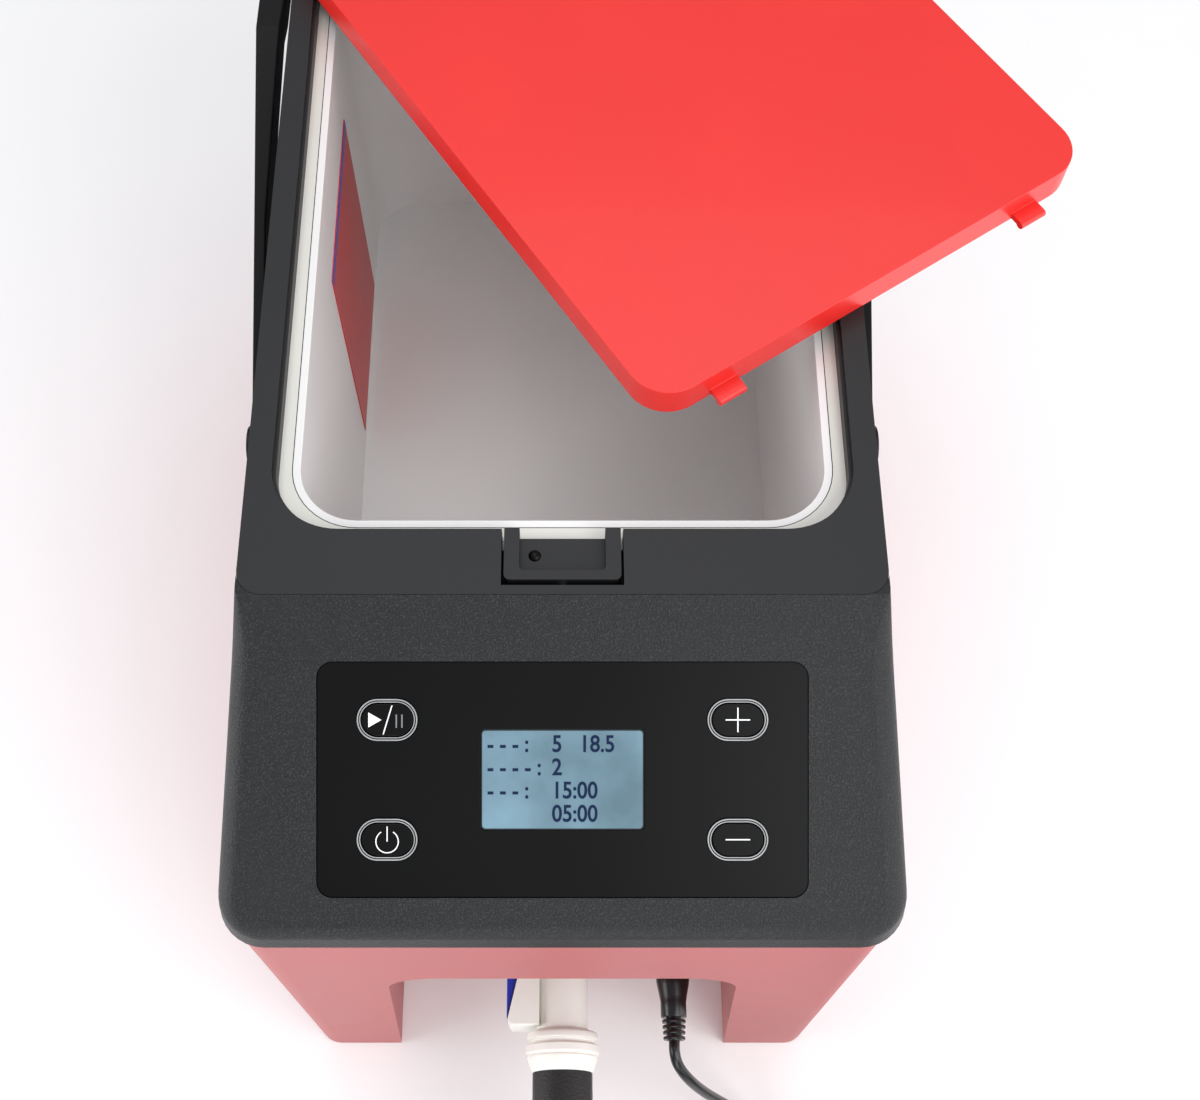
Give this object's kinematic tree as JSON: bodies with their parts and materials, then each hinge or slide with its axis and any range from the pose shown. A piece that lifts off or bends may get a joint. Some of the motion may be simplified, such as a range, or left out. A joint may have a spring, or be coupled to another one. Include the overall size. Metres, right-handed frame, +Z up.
{
  "type": "hot cold therapy machine",
  "caption": "Hot and cold therapy machine: red and black case with a white water tub, lift-off red lid, swing handle, sloping control panel with display, hose and power adapter.",
  "frame": {"origin": "on the floor under the middle of the case", "axes": "+X to the right of someone facing the control panel, +Y to the rear, +Z up"},
  "size_m": [0.353, 0.8784, 0.2925],
  "materials": {
    "red_case": "satin",
    "red_lid": "semi-gloss",
    "black_case": "fine texture",
    "frame_plastic": "smooth satin",
    "dark_plastic": "satin",
    "panel_gloss": "gloss",
    "screen_glass": "clear",
    "chrome": "polished",
    "rubber": "matt",
    "steel": "plated",
    "circuit_board": "solder mask",
    "white_plastic": "semi-gloss",
    "foam": "expanded foam",
    "label_film": "film",
    "brass": "machined",
    "clear_tube": "silicone",
    "blue_plastic": "semi-gloss",
    "hose_rubber": "sleeved",
    "cable_pvc": "semi-gloss",
    "black_steel": "black oxide"
  },
  "bodies": {
    "case": {"lower_shell": "red_case", "base_cover": "dark_plastic", "rubber_feet": "rubber", "cover_screws": "steel", "body_screws": "steel", "upper_shell": "black_case", "top_frame": "frame_plastic", "control_panel": "panel_gloss", "button_rings": "chrome", "lcd_window": "screen_glass", "lcd_module": "dark_plastic", "keypad_board": "circuit_board", "main_board": "circuit_board", "board_screws": "steel", "tub": "white_plastic", "tub_insulation": "foam", "tub_gasket": "rubber", "fill_label": "label_film", "tub_strainer": "white_plastic", "temperature_probe": "steel", "latch_spring": "steel", "pivot_bolts": "black_steel", "pivot_washers": "steel", "pivot_nuts": "steel", "pump_motor": "steel", "pump_housing": "dark_plastic", "air_pump_motor": "steel", "air_pump_body": "dark_plastic", "valve_block": "white_plastic", "suction_tube": "clear_tube", "supply_tube": "clear_tube", "return_tube": "clear_tube", "air_tube": "clear_tube", "hose_socket": "white_plastic", "power_inlet": "dark_plastic", "hose_connector": "white_plastic", "hose_collar": "white_plastic", "hose": "hose_rubber", "hose_coil": "hose_rubber", "hose_end": "white_plastic", "dc_plug": "cable_pvc", "dc_lead": "cable_pvc", "dc_coil": "cable_pvc", "adapter": "cable_pvc"},
    "lid": {"lid_shell": "red_lid", "lid_liner": "white_plastic", "lid_insulation": "foam", "lid_seal": "rubber"},
    "handle": {"handle_bail": "black_case", "handle_grip": "rubber"},
    "latch": {"latch_button": "frame_plastic", "latch_lens": "panel_gloss"},
    "play_button": {"button_play": "panel_gloss"},
    "power_button": {"button_power": "panel_gloss"},
    "plus_button": {"button_plus": "panel_gloss"},
    "minus_button": {"button_minus": "panel_gloss"},
    "hose_lever": {"release_lever": "blue_plastic"},
    "pump_rotor": {"pump_impeller": "white_plastic"},
    "air_pump_rotor": {"air_pump_crank": "steel"},
    "valve_stem": {"valve_plunger": "brass"}
  },
  "joints": [
    {"name": "handle_swing", "type": "hinge", "parent": "case", "child": "handle", "pos_m": [0, -0.008, 0.209], "axis": [1, 0, 0], "range_deg": [0, 95]},
    {"name": "lid_lift", "type": "slide", "parent": "case", "child": "lid", "axis": [0, 0, 1], "range_m": [0, 0.45]},
    {"name": "latch_press", "type": "slide", "parent": "case", "child": "latch", "axis": [0, -1, 0], "range_m": [0, 0.0018], "stiffness_N_per_m": 800},
    {"name": "play_press", "type": "slide", "parent": "case", "child": "play_button", "axis": [0, 0.4305, -0.9026], "range_m": [0, 0.0008], "stiffness_N_per_m": 1500},
    {"name": "power_press", "type": "slide", "parent": "case", "child": "power_button", "axis": [0, 0.4305, -0.9026], "range_m": [0, 0.0008], "stiffness_N_per_m": 1500},
    {"name": "plus_press", "type": "slide", "parent": "case", "child": "plus_button", "axis": [0, 0.4305, -0.9026], "range_m": [0, 0.0008], "stiffness_N_per_m": 1500},
    {"name": "minus_press", "type": "slide", "parent": "case", "child": "minus_button", "axis": [0, 0.4305, -0.9026], "range_m": [0, 0.0008], "stiffness_N_per_m": 1500},
    {"name": "hose_lever_press", "type": "slide", "parent": "case", "child": "hose_lever", "axis": [0, 0, -1], "range_m": [0, 0.002], "stiffness_N_per_m": 800},
    {"name": "pump_spin", "type": "hinge", "parent": "case", "child": "pump_rotor", "pos_m": [-0.05, -0.04, 0.05], "axis": [0, 0, 1], "continuous": true},
    {"name": "air_pump_spin", "type": "hinge", "parent": "case", "child": "air_pump_rotor", "pos_m": [0.05, -0.04, 0.045], "axis": [0, 0, 1], "continuous": true},
    {"name": "valve_lift", "type": "slide", "parent": "case", "child": "valve_stem", "axis": [0, 0, 1], "range_m": [0, 0.003], "stiffness_N_per_m": 300}
  ],
  "couplings": [
    {"joint": "lid_lift", "follows": "handle_swing", "m_per_rad": 0.27}
  ]
}
